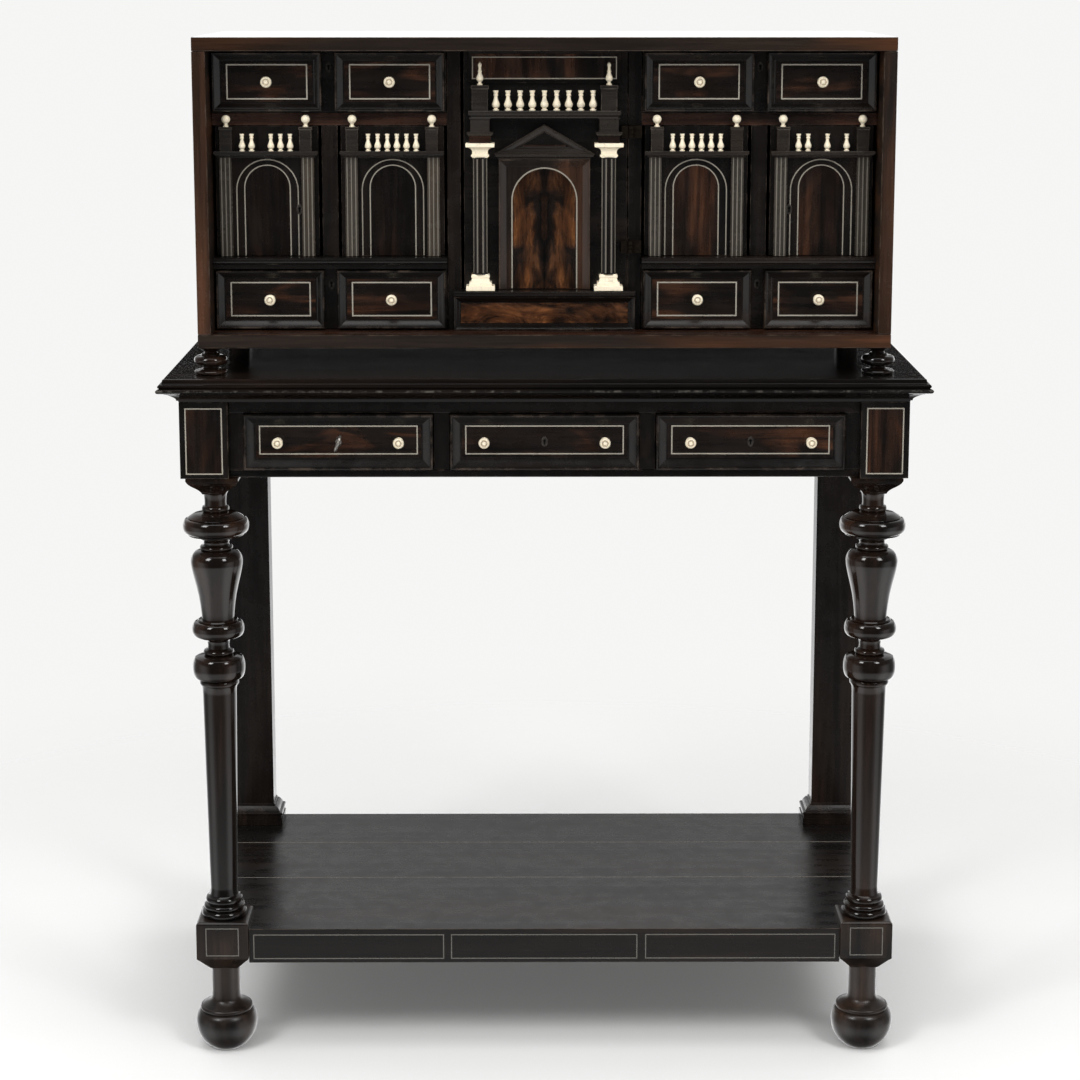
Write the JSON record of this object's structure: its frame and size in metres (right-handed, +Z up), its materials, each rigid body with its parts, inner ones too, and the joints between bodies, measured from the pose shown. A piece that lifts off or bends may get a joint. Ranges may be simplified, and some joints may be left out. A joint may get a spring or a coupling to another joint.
{
  "type": "coin cabinet on stand",
  "caption": "Black and rosewood coin cabinet with moulded drawers, arched doors and a pillared centre door, on a stand with frieze drawers, turned front legs and a low shelf.",
  "frame": {"origin": "on the floor, under the middle of the stand's width and depth", "axes": "+X to the right seen from the front, +Y from the front to the back, +Z up"},
  "size_m": [0.862, 0.444, 1.174],
  "materials": {
    "ebony": "black polished",
    "rosewood": "dark polished with red-brown figure",
    "bone": "polished bone",
    "iron": "worn",
    "hinge_brass": "dull brown"
  },
  "bodies": {
    "case_and_stand": {"stand_top": "ebony", "frieze_rail_upper": "ebony", "frieze_bottom_board": "ebony", "frieze_back": "ebony", "shelf": "ebony", "cabinet_top": "ebony", "cabinet_bottom": "ebony", "cabinet_back": "rosewood", "centre_plinth": "rosewood", "portico_hinge_upper": "hinge_brass", "portico_hinge_lower": "hinge_brass", "corner_block_left": "ebony", "frieze_side_left": "ebony", "drawer_divider_left": "ebony", "front_leg_left": "ebony", "rear_leg_left": "ebony", "front_foot_left": "ebony", "rear_foot_left": "ebony", "cabinet_side_left": "rosewood", "bay_upright_left": "rosewood", "bay_shelf_upper_left": "rosewood", "bay_shelf_lower_left": "ebony", "door_post_left": "ebony", "cabinet_foot_front_left": "ebony", "cabinet_foot_rear_left": "ebony", "corner_block_right": "ebony", "frieze_side_right": "ebony", "drawer_divider_right": "ebony", "front_leg_right": "ebony", "rear_leg_right": "ebony", "front_foot_right": "ebony", "rear_foot_right": "ebony", "cabinet_side_right": "rosewood", "bay_upright_right": "rosewood", "bay_shelf_upper_right": "rosewood", "bay_shelf_lower_right": "ebony", "door_post_right": "ebony", "cabinet_foot_front_right": "ebony", "cabinet_foot_rear_right": "ebony"},
    "stand_drawer_left": {"stand_drawer_left": "ebony", "stand_knob_left_1": "bone", "stand_knob_left_2": "bone"},
    "stand_drawer_centre": {"stand_drawer_centre": "ebony", "stand_knob_centre_1": "bone", "stand_knob_centre_2": "bone"},
    "stand_drawer_right": {"stand_drawer_right": "ebony", "stand_knob_right_1": "bone", "stand_knob_right_2": "bone"},
    "key": {"drawer_key": "iron"},
    "drawer_top_left": {"drawer_top_left": "ebony"},
    "drawer_top_right": {"drawer_top_right": "ebony"},
    "drawer_bottom_left": {"drawer_bottom_left": "ebony"},
    "drawer_bottom_right": {"drawer_bottom_right": "ebony"},
    "door_left_outer": {"door_left_outer": "rosewood"},
    "door_left_inner": {"door_left_inner": "rosewood"},
    "door_right_outer": {"door_right_outer": "rosewood"},
    "door_right_inner": {"door_right_inner": "rosewood"},
    "portico_door": {"portico_door": "rosewood", "portico_column_left": "bone", "portico_column_right": "bone"}
  },
  "joints": [
    {"name": "stand_drawer_left_slide", "type": "slide", "parent": "case_and_stand", "child": "stand_drawer_left", "axis": [0, -1, 0], "range_m": [0, 0.22]},
    {"name": "stand_drawer_centre_slide", "type": "slide", "parent": "case_and_stand", "child": "stand_drawer_centre", "axis": [0, -1, 0], "range_m": [0, 0.22]},
    {"name": "stand_drawer_right_slide", "type": "slide", "parent": "case_and_stand", "child": "stand_drawer_right", "axis": [0, -1, 0], "range_m": [0, 0.22]},
    {"name": "key_turn", "type": "hinge", "parent": "stand_drawer_left", "child": "key", "pos_m": [-0.23117, -0.2, 0.72535], "axis": [0, -1, 0], "range_deg": [0, 90]},
    {"name": "drawer_top_left_slide", "type": "slide", "parent": "case_and_stand", "child": "drawer_top_left", "axis": [0, -1, 0], "range_m": [0, 0.15]},
    {"name": "drawer_top_right_slide", "type": "slide", "parent": "case_and_stand", "child": "drawer_top_right", "axis": [0, -1, 0], "range_m": [0, 0.15]},
    {"name": "drawer_bottom_left_slide", "type": "slide", "parent": "case_and_stand", "child": "drawer_bottom_left", "axis": [0, -1, 0], "range_m": [0, 0.15]},
    {"name": "drawer_bottom_right_slide", "type": "slide", "parent": "case_and_stand", "child": "drawer_bottom_right", "axis": [0, -1, 0], "range_m": [0, 0.15]},
    {"name": "door_left_outer_hinge", "type": "hinge", "parent": "case_and_stand", "child": "door_left_outer", "pos_m": [-0.3659, -0.162, 1], "axis": [0, 0, -1], "range_deg": [0, 90]},
    {"name": "door_left_inner_hinge", "type": "hinge", "parent": "case_and_stand", "child": "door_left_inner", "pos_m": [-0.22565, -0.162, 1], "axis": [0, 0, -1], "range_deg": [0, 90]},
    {"name": "door_right_outer_hinge", "type": "hinge", "parent": "case_and_stand", "child": "door_right_outer", "pos_m": [0.3659, -0.162, 1], "axis": [0, 0, 1], "range_deg": [0, 90]},
    {"name": "door_right_inner_hinge", "type": "hinge", "parent": "case_and_stand", "child": "door_right_inner", "pos_m": [0.22565, -0.162, 1], "axis": [0, 0, 1], "range_deg": [0, 90]},
    {"name": "portico_door_hinge", "type": "hinge", "parent": "case_and_stand", "child": "portico_door", "pos_m": [0.096, -0.166, 1], "axis": [0, 0, 1], "range_deg": [0, 90]}
  ]
}
